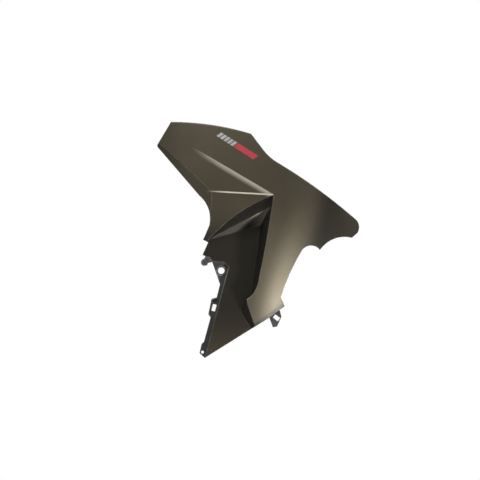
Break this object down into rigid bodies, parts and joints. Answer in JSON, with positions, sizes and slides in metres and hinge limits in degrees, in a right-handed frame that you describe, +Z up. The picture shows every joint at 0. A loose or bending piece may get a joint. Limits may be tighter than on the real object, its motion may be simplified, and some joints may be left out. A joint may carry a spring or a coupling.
{
  "type": "headlight fairing panel",
  "caption": "Right-hand front fairing side panel of a motorbike: curved satin bronze shell with faceted wing, stepped scoop, pillar and set-back fixing flange.",
  "frame": {"origin": "centre of the fixing ear's hole, on the ear's outer face", "axes": "+X forwards along the motorbike, +Z up, the outer face looks towards -Y"},
  "size_m": [0.3542, 0.1037, 0.4124],
  "materials": {
    "fairing_panel": "satin bronze-grey metallic paint on moulded plastic, bare grey-black plastic behind and on the flange",
    "decal_bars": "pale silver vinyl film",
    "decal_block": "red vinyl film"
  },
  "bodies": {
    "root": {"fairing_panel": "fairing_panel", "decal_bars": "decal_bars", "decal_block": "decal_block"}
  },
  "joints": []
}
